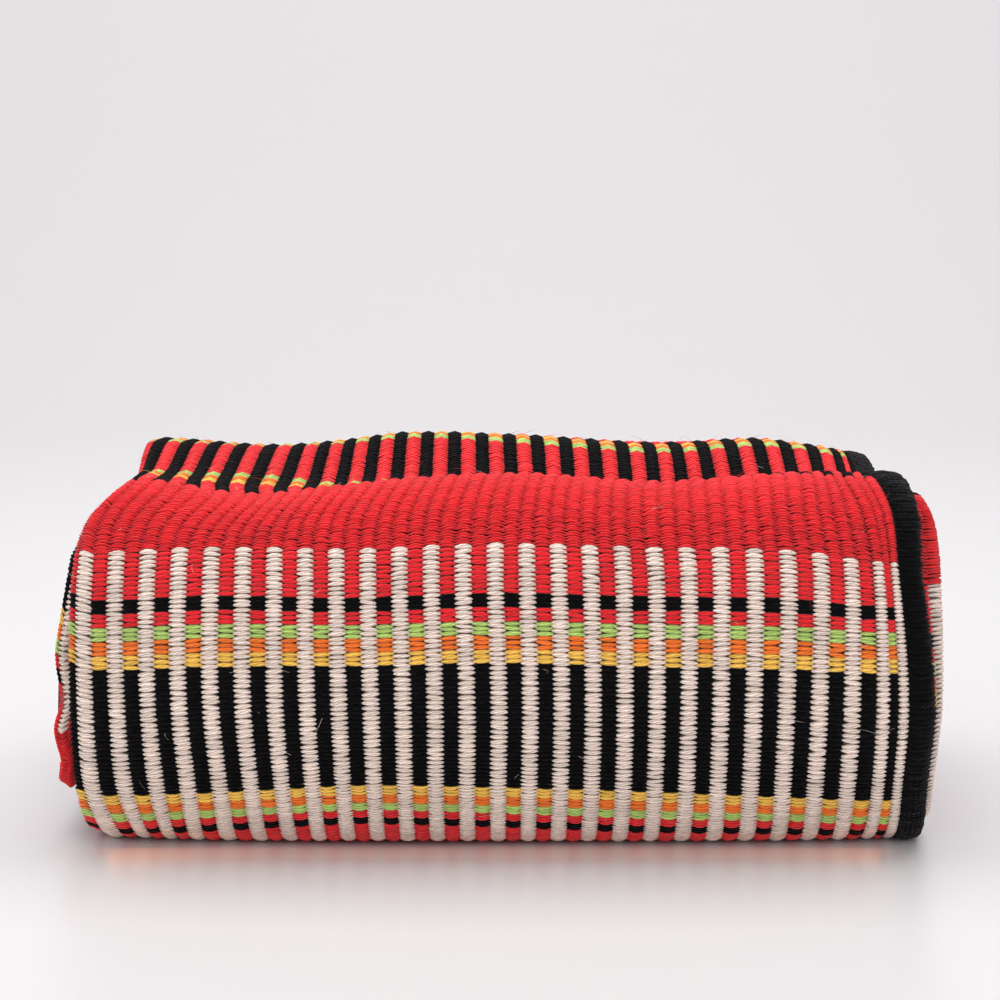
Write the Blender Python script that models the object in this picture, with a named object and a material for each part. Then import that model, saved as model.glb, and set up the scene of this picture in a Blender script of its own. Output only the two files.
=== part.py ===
"""A ribbed throw blanket, folded into a plump bundle that lies flat.

The cloth is one sheet. It is folded in thirds across its width, which makes a
strip of three layers, and the strip is then folded in half three times along
its length. So the strip runs back and forth eight times between four turns at
the front, one inside the other, and three at the back. A narrow binding is
sewn round each long edge of the sheet.

Metres, +Z up. The front faces -Y, and the origin is in the middle of the
footprint, on the surface that the bundle rests on.
"""

from collections import namedtuple

import bmesh
import bpy
import numpy as np

# The sheet
THICKNESS = 0.006
LAYER_PITCH = 0.00843
LAYERS_PER_PASS = 3
PASSES = 8
PASS_PITCH = LAYERS_PER_PASS * LAYER_PITCH
HEIGHT = THICKNESS + LAYER_PITCH * (LAYERS_PER_PASS * PASSES - 1)

# Where the layers of the strip end or turn, across the bundle
OUTER_EDGE_X = 0.2279
RIGHT_FOLD_X = 0.2300
LEFT_FOLD_X = -0.2170
INNER_EDGE_X = -0.2043
MIDDLE_X = (RIGHT_FOLD_X + LEFT_FOLD_X) / 2
HALF_WIDTH = (RIGHT_FOLD_X - LEFT_FOLD_X) / 2

# The binding, the thinned edge of the cloth inside it, and the gaps between them
# at their walls and at the cloth's edge
BINDING_REACH = 0.012
BINDING_THICKNESS = 0.0012
BINDING_ROUND = 0.0005
EDGE_STEP = 0.0027
GAP = 0.0010
EDGE_GAP = 0.0015
EDGE_THICKNESS = THICKNESS - 2 * (BINDING_THICKNESS + GAP)

# Mesh fineness: the columns that every layer has between its edges, the depths
# of the stations on every straight run, and how far round a turn or along it
# the next station comes
COLUMN_X = (-0.165, -0.085, 0.010, 0.090, 0.168)
STEPS_PER_SIDE_FOLD = 3
RUN_DEPTHS = (0.064, 0.090, 0.124, 0.160, 0.197, 0.234)
TURN_ANGLE = 1.0
TURN_LENGTH = 0.055
STRAIGHT_ANGLE = 0.0015
DENSE_STEP = 0.0005
TURN_STEPS = 240

# Depth runs back from the foremost point of the bundle
DEPTH_CENTRE = 0.1380
WIDTH_CENTRE = -0.0023
START_DEPTH = 0.262
END_DEPTH = 0.250
START_DRIFT = -0.002
END_DRIFT = -0.007

# Each turn of the strip, in order from its first end: the passes that it joins
# as levels from the bottom, the depth of its tip, how far it bulges past the
# straight runs, the height of its tip, how square it is in its first and
# second half, and how far it has slipped sideways.
Turn = namedtuple("Turn", "side first last tip bulge waist square_in square_out drift")
TURNS = (
    Turn("front", 0, 7, 0.01143, 0.0490, 0.1060, 2.1, 2.9, 0.0000),
    Turn("back", 7, 4, 0.26500, 0.0330, 0.1480, 2.3, 2.3, -0.0020),
    Turn("front", 4, 3, 0.09150, 0.0125, 0.1002, 2.0, 2.0, 0.0010),
    Turn("back", 3, 2, 0.25900, 0.0125, 0.0749, 2.0, 2.0, -0.0030),
    Turn("front", 2, 5, 0.06470, 0.0300, 0.1002, 2.2, 2.2, -0.0040),
    Turn("back", 5, 6, 0.23820, 0.0125, 0.1508, 2.0, 2.0, -0.0060),
    Turn("front", 6, 1, 0.03800, 0.0370, 0.1020, 2.6, 2.6, -0.0175),
)

# How far the top stands above or below its even height, across the bundle, at
# the front ridge, in the hollow behind it, on the crest and at the back.
Lift = namedtuple("Lift", "x ridge hollow crest back")
LIFTS = (
    Lift(-0.224, 0.0010, -0.0010, 0.0080, -0.0045),
    Lift(-0.153, -0.0085, -0.0050, 0.0040, -0.0090),
    Lift(-0.107, -0.0040, -0.0085, 0.0065, -0.0075),
    Lift(-0.061, 0.0010, -0.0055, 0.0115, -0.0065),
    Lift(0.006, 0.0040, -0.0085, 0.0090, -0.0030),
    Lift(0.088, -0.0005, -0.0145, 0.0030, -0.0050),
    Lift(0.150, 0.0035, -0.0075, 0.0070, -0.0050),
    Lift(0.181, 0.0040, -0.0055, 0.0045, -0.0090),
    Lift(0.236, 0.0025, -0.0085, -0.0025, -0.0125),
)
LIFT_DEPTHS = (0.052, 0.105, 0.160, 0.250)
LIFT_LEVEL = (0.25, 1.0)

# How far the cloth is drawn to the right, across the bundle, from its foot up
# over the front to the crest of the top.
Draw = namedtuple("Draw", "x foot knee face shoulder brow ridge hollow crest")
DRAWS = (
    Draw(-0.243, -0.0035, -0.0010, 0.0005, 0.0035, 0.0080, 0.0230, 0.0235, 0.0215),
    Draw(-0.230, -0.0045, -0.0035, -0.0030, 0.0005, 0.0080, 0.0230, 0.0235, 0.0215),
    Draw(-0.217, 0.0070, 0.0005, 0.0, 0.0010, 0.0050, 0.0230, 0.0235, 0.0215),
    Draw(-0.167, 0.0030, 0.0025, 0.0, 0.0005, 0.0030, 0.0200, 0.0170, 0.0195),
    Draw(-0.133, 0.0040, 0.0025, 0.0, 0.0005, 0.0020, 0.0155, 0.0145, 0.0195),
    Draw(-0.075, 0.0015, 0.0010, 0.0, -0.0010, 0.0, 0.0105, 0.0105, 0.0125),
    Draw(0.000, -0.0005, -0.0005, 0.0, -0.0020, -0.0010, 0.0045, 0.0075, 0.0070),
    Draw(0.075, -0.0005, 0.0, 0.0, -0.0010, -0.0030, -0.0010, 0.0050, 0.0060),
    Draw(0.134, 0.0010, 0.0, 0.0, 0.0, -0.0015, -0.0015, 0.0020, 0.0010),
    Draw(0.168, 0.0010, 0.0, 0.0, 0.0, -0.0035, -0.0030, -0.0025, -0.0020),
    Draw(0.186, 0.0005, 0.0, 0.0, -0.0015, -0.0060, -0.0085, -0.0060, -0.0035),
    Draw(0.202, 0.0, 0.0, 0.0, -0.0035, -0.0075, -0.0145, -0.0095, -0.0060),
    Draw(0.229, 0.0015, -0.0010, 0.0, -0.0080, -0.0085, -0.0120, -0.0145, -0.0150),
    Draw(0.240, 0.0, -0.0015, 0.0, -0.0005, -0.0030, -0.0080, -0.0030, -0.0020),
)
DRAW_REACHES = (0.0, 0.04, 0.09, 0.16, 0.20, 0.245, 0.285, 0.37)
TOP_SHARE = (0.2, 1.0)

# The ends of the front fall back
FRONT_BOW = 0.008
BOW_REACH = (0.15, 0.05)

# How far the layers that hang out past the lowest pass at the left droop: it grows
# from one x to the other, starts at one height and fades between two more
DROOP = 0.004
DROOP_X = (-0.230, -0.243)
DROOP_START = (0.0, 0.03)
DROOP_FADE = (0.11, 0.05)

CLOTH_RED = (0.58, 0.02, 0.035, 1.0)
BINDING_BLACK = (0.012, 0.012, 0.014, 1.0)
YARN_ROUGHNESS = 0.9


def eased(value, start, end):
    """0 before start, 1 after end, and level at both."""
    t = np.clip((value - start) / (end - start), 0.0, 1.0)
    return t * t * (3.0 - 2.0 * t)


def level_height(level):
    """Height of a pass's middle layer, for levels counted from the bottom."""
    return THICKNESS / 2 + LAYER_PITCH * (LAYERS_PER_PASS * level + 1)


def turn_points(turn):
    """Rows of depth, height and drift round one turn: two quarters of a
    superellipse that meet at its tip."""
    outward = -1.0 if turn.side == "front" else 1.0
    low, high = level_height(turn.first), level_height(turn.last)
    angle = np.linspace(-np.pi / 2, np.pi / 2, TURN_STEPS + 1)
    first_half = angle < 0
    power = 2.0 / np.where(first_half, turn.square_in, turn.square_out)
    reach = np.where(first_half, turn.waist - low, high - turn.waist)
    along = np.abs(np.cos(angle)) ** power
    across = np.sign(angle) * np.abs(np.sin(angle)) ** power
    along[[0, -1]] = 0.0
    depth = turn.tip + outward * turn.bulge * (along - 1.0)
    height = turn.waist + reach * across
    return np.stack([depth, height, np.full_like(depth, turn.drift)], axis=1)


def strip_path():
    """Rows of depth, height and drift along the middle layer, evenly spaced."""
    start = [[START_DEPTH, level_height(TURNS[0].first), START_DRIFT]]
    end = [[END_DEPTH, level_height(TURNS[-1].last), END_DRIFT]]
    corners = np.concatenate([start, *[turn_points(turn) for turn in TURNS], end])
    steps = np.linalg.norm(np.diff(corners[:, :2], axis=0), axis=1)
    corners = corners[np.concatenate([[True], steps > 1e-9])]
    steps = np.linalg.norm(np.diff(corners[:, :2], axis=0), axis=1)
    length = np.concatenate([[0.0], np.cumsum(steps)])
    even = np.linspace(0.0, length[-1], int(length[-1] / DENSE_STEP))
    return np.stack([np.interp(even, length, column) for column in corners.T], axis=1)


def outward_normals(path):
    """Unit normals of the path on the side of the visible layer."""
    tangent = np.gradient(path[:, :2], axis=0)
    tangent /= np.linalg.norm(tangent, axis=1)[:, None]
    return np.stack([-tangent[:, 1], tangent[:, 0]], axis=1)


def stations(path, normals):
    """Indices along the path: at the same depths on every straight run, so that
    the runs stay parallel, and by angle and length round the turns."""
    turning = np.linalg.norm(np.diff(normals, axis=0), axis=1)
    straight = turning < STRAIGHT_ANGLE
    effort = np.where(straight, 0.0, turning / TURN_ANGLE + DENSE_STEP / TURN_LENGTH)
    round_turns = np.diff(np.floor(np.cumsum(effort)), prepend=0.0) > 0
    past = path[:, :1] > np.array(RUN_DEPTHS)
    on_runs = straight & (past[1:] != past[:-1]).any(axis=1)
    return np.concatenate([[0], np.flatnonzero(round_turns | on_runs), [len(path) - 1]])


def half_turn(x, middle, side):
    """Points of a side fold round (x, middle), without its two ends."""
    angle = np.linspace(-np.pi / 2, np.pi / 2, STEPS_PER_SIDE_FOLD + 1)[1:-1]
    radius = LAYER_PITCH / 2
    return [(x + side * radius * np.cos(a), middle - radius * np.sin(a)) for a in angle]


def cloth_section():
    """Rows of x, offset and half thickness along the middle of the sheet, from
    the visible edge to the hidden one. The offset is towards the visible side."""
    full, edge = THICKNESS / 2, EDGE_THICKNESS / 2
    step = BINDING_REACH + GAP
    rim = ((0.0, edge - BINDING_ROUND), (step, edge), (step + EDGE_STEP, full))
    rows = [(OUTER_EDGE_X - inset, LAYER_PITCH, half) for inset, half in rim]
    rows += [(x, LAYER_PITCH, full) for x in (*COLUMN_X[::-1], LEFT_FOLD_X)]
    rows += [(x, w, full) for x, w in half_turn(LEFT_FOLD_X, LAYER_PITCH / 2, -1)]
    rows += [(x, 0.0, full) for x in (LEFT_FOLD_X, *COLUMN_X, RIGHT_FOLD_X)]
    rows += [(x, w, full) for x, w in half_turn(RIGHT_FOLD_X, -LAYER_PITCH / 2, 1)]
    rows += [(x, -LAYER_PITCH, full) for x in (RIGHT_FOLD_X, *COLUMN_X[::-1])]
    rows += [(INNER_EDGE_X + inset, -LAYER_PITCH, half) for inset, half in reversed(rim)]
    return np.array(rows)


def binding_section(edge_x, offset, outward):
    """Rows like cloth_section's for the C that wraps one long edge."""
    wall = (EDGE_THICKNESS + BINDING_THICKNESS) / 2 + GAP
    half_c = ((-BINDING_REACH, wall), (EDGE_GAP + BINDING_THICKNESS / 2, wall - BINDING_ROUND))
    centre = [*half_c, *[(reach, -w) for reach, w in reversed(half_c)]]
    return np.array([
        (edge_x + outward * reach, offset + outward * w, BINDING_THICKNESS / 2)
        for reach, w in centre
    ])


def outline(section):
    """The closed outline of a section: its middle line moved to one side, with
    mitred corners, and back along the other side."""
    line, half = section[:, :2], section[:, 2:]
    direction = np.diff(line, axis=0)
    direction /= np.linalg.norm(direction, axis=1)[:, None]
    normal = np.stack([direction[:, 1], -direction[:, 0]], axis=1)
    before = np.concatenate([normal[:1], normal])
    after = np.concatenate([normal, normal[-1:]])
    mitre = (before + after) / (1.0 + (before * after).sum(axis=1))[:, None]
    return np.concatenate([line + mitre * half, (line - mitre * half)[::-1]])


def curve_shares(knots, place):
    """How much each knot's value counts at a place, for a smooth curve through
    all of them that runs level past both ends."""
    knots = np.asarray(knots)
    place = np.clip(place, knots[0], knots[-1])
    k = (np.searchsorted(knots, place, side="right") - 1).clip(0, len(knots) - 2)
    gap = (knots[k + 1] - knots[k])[..., None]
    t = (place - knots[k])[..., None] / gap
    value = np.eye(len(knots))
    slope = np.zeros_like(value)
    slope[1:-1] = (value[2:] - value[:-2]) / (knots[2:] - knots[:-2])[:, None]
    ends = value[k] * (1 + 2 * t) * (1 - t) ** 2 + value[k + 1] * t * t * (3 - 2 * t)
    return ends + gap * (slope[k] * t * (1 - t) ** 2 - slope[k + 1] * t * t * (1 - t))


def table_value(rows, knots, x, place):
    """A table's smooth value: its rows stand at their x and its columns at knots."""
    table = np.array(rows)
    columns = curve_shares(table[:, 0], x) @ table[:, 1:]
    return (columns * curve_shares(knots, place)).sum(axis=-1)


def softened(points):
    """The evenly folded points as they lie: the top swells and sinks, the cloth
    is drawn sideways, the ends of the front fall back and the low left droops."""
    x, depth, z = points[..., 0], points[..., 1], points[..., 2]
    level = z / HEIGHT
    reach = z + depth * eased(level, *TOP_SHARE)
    across = (x - MIDDLE_X) / HALF_WIDTH
    new_x = x + table_value(DRAWS, DRAW_REACHES, x, reach)
    new_depth = depth + FRONT_BOW * across**4 * eased(depth, *BOW_REACH)
    droop = DROOP * eased(x, *DROOP_X) * eased(z, *DROOP_START) * eased(z, *DROOP_FADE)
    lift = table_value(LIFTS, LIFT_DEPTHS, x, depth) * eased(level, *LIFT_LEVEL)
    new_z = z + lift - droop
    return np.stack([new_x - WIDTH_CENTRE, new_depth - DEPTH_CENTRE, new_z], axis=-1)


def swept(name, section, path, normals, at):
    """A closed mesh: the section's outline carried along the strip's path. Each
    four-sided face is split from its lower x at the first station to its
    higher x at the next, so that the faces of nested pieces stay parallel."""
    ring = outline(section)
    base, out, drift = path[at, :2], normals[at], path[at, 2:]
    x = ring[None, :, 0] + drift
    depth = base[:, :1] + out[:, :1] * ring[None, :, 1]
    z = base[:, 1:] + out[:, 1:] * ring[None, :, 1]
    points = softened(np.stack([x, depth, z], axis=-1))
    count, size = points.shape[:2]
    faces = []
    for i in range(count - 1):
        here, there = i * size, (i + 1) * size
        for j in range(size):
            k = (j + 1) % size
            if ring[j, 0] < ring[k, 0]:
                faces.append((here + j, here + k, there + k))
                faces.append((here + j, there + k, there + j))
            else:
                faces.append((here + j, here + k, there + j))
                faces.append((here + k, there + k, there + j))
    last = (count - 1) * size
    for j in range(size // 2 - 1):
        cap = (j, size - 1 - j, size - 2 - j, j + 1)
        faces.append(cap)
        faces.append(tuple(last + corner for corner in reversed(cap)))
    mesh = bpy.data.meshes.new(name)
    mesh.from_pydata(points.reshape(-1, 3).tolist(), [], faces)
    shape = bmesh.new()
    shape.from_mesh(mesh)
    bmesh.ops.recalc_face_normals(shape, faces=shape.faces)
    bmesh.ops.triangulate(shape, faces=shape.faces, quad_method="SHORT_EDGE")
    shape.to_mesh(mesh)
    shape.free()
    mesh.shade_smooth()
    return mesh


def yarn_material(name, colour):
    """Plain rough yarn of one colour."""
    material = bpy.data.materials.new(name)
    material.use_nodes = True
    shader = material.node_tree.nodes["Principled BSDF"]
    shader.inputs["Base Color"].default_value = colour
    shader.inputs["Roughness"].default_value = YARN_ROUGHNESS
    material.diffuse_color = colour
    return material


def add_piece(name, mesh, material):
    """Puts a mesh in the scene with its material."""
    mesh.materials.append(material)
    piece = bpy.data.objects.new(name, mesh)
    bpy.context.scene.collection.objects.link(piece)
    return piece


def main():
    for old in list(bpy.data.objects):
        bpy.data.objects.remove(old, do_unlink=True)
    path = strip_path()
    normals = outward_normals(path)
    at = stations(path, normals)
    red = yarn_material("cloth_red", CLOTH_RED)
    black = yarn_material("binding_black", BINDING_BLACK)
    pieces = (
        ("throw_cloth", cloth_section(), red),
        ("outer_edge_binding", binding_section(OUTER_EDGE_X, LAYER_PITCH, 1), black),
        ("inner_edge_binding", binding_section(INNER_EDGE_X, -LAYER_PITCH, -1), black),
    )
    for name, section, material in pieces:
        add_piece(name, swept(name, section, path, normals, at), material)


main()
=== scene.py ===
"""The looks of a ribbed throw blanket that is folded into a plump bundle.

The cloth is weft-faced: plump yarns float over cords that run along the sheet,
so its face is a row of ribs, and each rib is a ladder of short floats. One pick
in two floats over the even ribs and the next over the odd ones, which lets the
two sets of ribs have their own colours. The sheet is folded in thirds across
its width and then in half three times along its length.
"""

import math
from collections import namedtuple

import bpy
import numpy as np
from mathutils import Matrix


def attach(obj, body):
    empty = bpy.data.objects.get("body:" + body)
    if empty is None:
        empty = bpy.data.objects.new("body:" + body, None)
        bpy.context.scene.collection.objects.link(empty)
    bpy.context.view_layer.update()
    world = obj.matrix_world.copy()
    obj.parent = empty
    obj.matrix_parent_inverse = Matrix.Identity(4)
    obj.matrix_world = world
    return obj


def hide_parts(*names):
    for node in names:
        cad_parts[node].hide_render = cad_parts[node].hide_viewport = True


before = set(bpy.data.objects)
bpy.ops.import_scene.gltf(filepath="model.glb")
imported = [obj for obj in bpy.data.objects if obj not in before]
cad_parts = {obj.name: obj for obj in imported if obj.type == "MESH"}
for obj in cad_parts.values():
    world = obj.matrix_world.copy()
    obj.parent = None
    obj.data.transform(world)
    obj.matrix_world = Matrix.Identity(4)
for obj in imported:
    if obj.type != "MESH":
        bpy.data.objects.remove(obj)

bl_info = {
    "name": "Folded Ribbed Throw",
    "version": (1, 0, 0),
    "blender": (4, 5, 0),
    "location": "View3D > Sidebar > Throw",
    "description": "Weaves the ground, floats and bindings of a folded ribbed throw blanket",
    "category": "Mesh",
}

# The folded sheet: its layers, and where they end or turn across the bundle
THICKNESS = 0.006
LAYER_PITCH = 0.00843
LAYERS_PER_PASS = 3
PASSES = 8
HEIGHT = THICKNESS + LAYER_PITCH * (LAYERS_PER_PASS * PASSES - 1)
OUTER_EDGE_X = 0.2279
RIGHT_FOLD_X = 0.2300
LEFT_FOLD_X = -0.2170
INNER_EDGE_X = -0.2043
MIDDLE_X = (RIGHT_FOLD_X + LEFT_FOLD_X) / 2
HALF_WIDTH = (RIGHT_FOLD_X - LEFT_FOLD_X) / 2
FOLD_RADIUS = LAYER_PITCH / 2
FOLD_TAKE = 0.0072

# Depth runs back from the foremost point of the bundle
DEPTH_CENTRE = 0.1380
WIDTH_CENTRE = -0.0023
START_DEPTH = 0.262
END_DEPTH = 0.250
START_DRIFT = -0.002
END_DRIFT = -0.007
DENSE_STEP = 0.0005
TURN_STEPS = 240
SAME_POINT = 1e-9
FLOOR_CLEARANCE = 0.0003

# Each turn of the strip, in order from its first end: the passes that it joins
# as levels from the bottom, the depth of its tip, how far it bulges past the
# straight runs, the height of its tip, how square it is in its first and
# second half, and how far it has slipped sideways.
Turn = namedtuple("Turn", "side first last tip bulge waist square_in square_out drift")
TURNS = (
    Turn("front", 0, 7, 0.01143, 0.0490, 0.1060, 2.1, 2.9, 0.0000),
    Turn("back", 7, 4, 0.26500, 0.0330, 0.1480, 2.3, 2.3, -0.0020),
    Turn("front", 4, 3, 0.09150, 0.0125, 0.1002, 2.0, 2.0, 0.0010),
    Turn("back", 3, 2, 0.25900, 0.0125, 0.0749, 2.0, 2.0, -0.0030),
    Turn("front", 2, 5, 0.06470, 0.0300, 0.1002, 2.2, 2.2, -0.0040),
    Turn("back", 5, 6, 0.23820, 0.0125, 0.1508, 2.0, 2.0, -0.0060),
    Turn("front", 6, 1, 0.03800, 0.0370, 0.1020, 2.6, 2.6, -0.0175),
)

# How far the top stands above or below its even height, across the bundle, at
# the front ridge, in the hollow behind it, on the crest and at the back.
Lift = namedtuple("Lift", "x ridge hollow crest back")
LIFTS = (
    Lift(-0.224, 0.0010, -0.0010, 0.0080, -0.0045),
    Lift(-0.153, -0.0085, -0.0050, 0.0040, -0.0090),
    Lift(-0.107, -0.0040, -0.0085, 0.0065, -0.0075),
    Lift(-0.061, 0.0010, -0.0055, 0.0115, -0.0065),
    Lift(0.006, 0.0040, -0.0085, 0.0090, -0.0030),
    Lift(0.088, -0.0005, -0.0145, 0.0030, -0.0050),
    Lift(0.150, 0.0035, -0.0075, 0.0070, -0.0050),
    Lift(0.181, 0.0040, -0.0055, 0.0045, -0.0090),
    Lift(0.236, 0.0025, -0.0085, -0.0025, -0.0125),
)
LIFT_DEPTHS = (0.052, 0.105, 0.160, 0.250)
LIFT_LEVEL = (0.25, 1.0)

# How far the cloth is drawn to the right, across the bundle, from its foot up
# over the front to the crest of the top.
Draw = namedtuple("Draw", "x foot knee face shoulder brow ridge hollow crest")
DRAWS = (
    Draw(-0.243, -0.0035, -0.0010, 0.0005, 0.0035, 0.0080, 0.0230, 0.0235, 0.0215),
    Draw(-0.230, -0.0045, -0.0035, -0.0030, 0.0005, 0.0080, 0.0230, 0.0235, 0.0215),
    Draw(-0.217, 0.0070, 0.0005, 0.0, 0.0010, 0.0050, 0.0230, 0.0235, 0.0215),
    Draw(-0.167, 0.0030, 0.0025, 0.0, 0.0005, 0.0030, 0.0200, 0.0170, 0.0195),
    Draw(-0.133, 0.0040, 0.0025, 0.0, 0.0005, 0.0020, 0.0155, 0.0145, 0.0195),
    Draw(-0.075, 0.0015, 0.0010, 0.0, -0.0010, 0.0, 0.0105, 0.0105, 0.0125),
    Draw(0.000, -0.0005, -0.0005, 0.0, -0.0020, -0.0010, 0.0045, 0.0075, 0.0070),
    Draw(0.075, -0.0005, 0.0, 0.0, -0.0010, -0.0030, -0.0010, 0.0050, 0.0060),
    Draw(0.134, 0.0010, 0.0, 0.0, 0.0, -0.0015, -0.0015, 0.0020, 0.0010),
    Draw(0.168, 0.0010, 0.0, 0.0, 0.0, -0.0035, -0.0030, -0.0025, -0.0020),
    Draw(0.186, 0.0005, 0.0, 0.0, -0.0015, -0.0060, -0.0085, -0.0060, -0.0035),
    Draw(0.202, 0.0, 0.0, 0.0, -0.0035, -0.0075, -0.0145, -0.0095, -0.0060),
    Draw(0.229, 0.0015, -0.0010, 0.0, -0.0080, -0.0085, -0.0120, -0.0145, -0.0150),
    Draw(0.240, 0.0, -0.0015, 0.0, -0.0005, -0.0030, -0.0080, -0.0030, -0.0020),
)
DRAW_REACHES = (0.0, 0.04, 0.09, 0.16, 0.20, 0.245, 0.285, 0.37)
TOP_SHARE = (0.2, 1.0)
FRONT_BOW = 0.008
BOW_REACH = (0.15, 0.05)

# How far the layers that hang out past the lowest pass at the left droop: it grows
# from one x to the other, starts at one height and fades between two more. It is
# more than the solid's own droop, and still leaves the lowest pass clear.
DROOP = 0.010
DROOP_X = (-0.222, -0.233)
DROOP_START = (0.0, 0.03)
DROOP_FADE = (0.11, 0.05)

# How far the ribs have slipped to the right over the cloth's own fold at the
# left end, along the strip from the ridge.
Slip = namedtuple("Slip", "past_ridge shift")
SLIPS = (
    Slip(-0.035, 0.0),
    Slip(-0.005, -0.0055),
    Slip(0.120, 0.0042),
    Slip(0.220, 0.0042),
    Slip(0.320, 0.0),
    Slip(1.180, 0.0),
    Slip(1.220, -0.0065),
)
SLIP_REACH = 0.085

# How far the fold at the left of the last turn waves in, along the strip from
# the start of that turn.
Wave = namedtuple("Wave", "past_turn inward")
WAVES = (
    Wave(0.015, 0.0),
    Wave(0.038, 0.0036),
    Wave(0.056, 0.0034),
    Wave(0.080, 0.0002),
    Wave(0.100, 0.0050),
    Wave(0.113, -0.0008),
    Wave(0.132, 0.0034),
    Wave(0.146, -0.0004),
    Wave(0.160, 0.0),
)
WAVE_REACH = 0.02
WAVE_STEPS = 8

# The weave. A pick is one shot of weft, and a rib is one cord that it covers.
PICK_PITCH = 0.00244
RIB_PITCH = 0.00805
RIB_SPREAD = 0.00015
RIB_SEED = 5
RibPlace = namedtuple("RibPlace", "rib x")
RIB_PLACES = (
    RibPlace(0, 0.2131),
    RibPlace(2, 0.2024),
    RibPlace(4, 0.1857),
    RibPlace(6, 0.1684),
    RibPlace(12, 0.1166),
    RibPlace(20, 0.0499),
    RibPlace(26, 0.0007),
    RibPlace(34, -0.0663),
    RibPlace(40, -0.1164),
    RibPlace(46, -0.1670),
    RibPlace(48, -0.1836),
    RibPlace(52, -0.2171),
    RibPlace(53, -0.2263),
)
LAST_VISIBLE_RIB = RIB_PLACES[-1].rib

# One repeat of the stripes, from the middle of the white-ribbed panel: the yarn
# on the even ribs, the yarn on the odd ribs and the picks that it lasts.
Stripe = namedtuple("Stripe", "even odd picks")
HALF_WHITE_PANEL = (
    Stripe("white", "black", 13.5),
    Stripe("white", "yellow", 3),
    Stripe("white", "orange", 3),
    Stripe("white", "green", 3),
    Stripe("white", "red", 3),
    Stripe("white", "black", 3),
    Stripe("white", "red", 10),
)
PLAIN_BAND = (Stripe("red", "red", 24),)
BLACK_PANEL = (
    Stripe("black", "red", 10),
    Stripe("black", "yellow", 3),
    Stripe("black", "orange", 3),
    Stripe("black", "green", 3),
    Stripe("black", "red", 22),
    Stripe("black", "green", 3),
    Stripe("black", "orange", 3),
    Stripe("black", "yellow", 3),
    Stripe("black", "red", 13),
)
REPEAT = HALF_WHITE_PANEL + PLAIN_BAND + BLACK_PANEL + PLAIN_BAND + HALF_WHITE_PANEL[::-1]
REPEAT_PICKS = sum(stripe.picks for stripe in REPEAT)
YARNS = ("red", "white", "black", "green", "orange", "yellow")
# Over the plain bands the floats are finer and lie in step on all the ribs
PLAIN_SHARE = 0.60
PLAIN_MARGIN = 0.3

# Where the rows are counted from on the front face, and how many picks early
# they come, across the bundle, at several counts along the warp. The picks are
# beaten more closely in some places than in others.
COUNT_HEIGHT = 0.0775
COUNT_LIFT = 0.001
Beat = namedtuple("Beat", "x foot lower upper shoulder")
BEATS = (
    Beat(-0.226, 2.7, 2.8, -0.1, 0.1),
    Beat(-0.217, 3.9, 4.0, 1.1, 1.3),
    Beat(-0.150, 0.3, 2.5, -0.2, -0.2),
    Beat(-0.075, -3.3, 0.3, -0.5, 0.1),
    Beat(0.000, -1.9, 0.8, -1.1, -1.1),
    Beat(0.075, 0.6, 1.9, -0.4, -0.3),
    Beat(0.150, 1.9, 3.8, 0.3, 0.4),
    Beat(0.213, 4.0, 5.5, 1.5, 3.4),
)
BEAT_COUNTS = (-29.0, -14.0, 14.0, 38.0)
# How far the rows of the under layer lie behind those of the visible one, what
# share of that is left at the ridge and how far before it that starts, and how
# much wider the rows are spread in the inner turns and over the last one
UNDER_LAYER_SLIP = 0.0244
RIDGE_SLIP_SHARE = 0.32
RIDGE_SLIP_RUN = 0.08
INNER_SPREAD = 0.0063
LAST_SPREAD = 0.0197

# The ground, which shows between the floats and inside the folds. Its rows come closer together
# where the cloth bends at any of the watched ribs, and its hems thin out towards the short ends.
# Its stripe colours are darkened all over, as painted shade for the gaps between the floats.
GROUND_CREST = 0.0018
GROUND_VALLEY = 0.0009
GROUND_EDGE = 0.0008
GROUND_ROWS = 102
GROUND_WATCHED = (4, 12, 20, 28, 36, 44, 50)
GROUND_LEAST_BEND = 4.0
GROUND_TONES = (0.3, 0.7)
GROUND_SEED = 11
Hem = namedtuple("Hem", "inset share")
HEMS = (Hem(0.0, 0.35), Hem(0.0015, 0.8), Hem(0.004, 1.0))

# The floats: how far they reach, in half ribs, how deep their tips are tucked
# and how far the beating has left their tips behind
FLOAT_REACH = 1.30
FLOAT_SINK = 0.0006
FLOAT_SINK_POWER = 6
FLOAT_ARC = 0.0003
PLAIN_ARC = 0.0010
ROUND_BACK_POWER = 0.8

# A float's section and taper: where its last ring lies, how fast it thins, and
# the height of its arch and its low point, in half heights
LAST_RING = 0.8
TAPER_POWER = 4
PLUMP_POWER = 1.1
ARCH_RISE = 1.1
ARCH_DROP = 0.1
LOW_POINT = -0.9

# How much the floats differ by chance: their breadth and height, how steeply
# they lean, how far they lie off their row and off their height, and how far
# apart their places on the yarn are
SWELL_BREADTH = 0.06
SWELL_HEIGHT = 0.05
LEAN_SLOPE = 0.05
SHIFT_REACH = 0.00012
RISE_REACH = 0.00008
YARN_PLACE_SCALE = 1000.0
YARN_PLACE_SPREAD = 50
AREA_SEEDS = 100

# How far before the first turn the front's floats start, and how far past the
# second the back's go on
FRONT_EARLY = 0.012
BACK_LATE = 0.004

# The binding, wrapped closely round each long edge of the sheet
BINDING_CENTRE = 0.0050
BINDING_SQUARENESS = 2.6
BINDING_SEED = 900
BINDING_STRANDS = 1.0
BINDING_TWIST = 0.55
BINDING_PLACE_SCALE = 6.0
WANDER_SPREAD = 0.8
WANDER_SHARE = 0.12
WRAP_SWELL_SPREAD = 0.22
WRAP_SWAY = 0.0005
WRAP_END = 0.001

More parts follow.
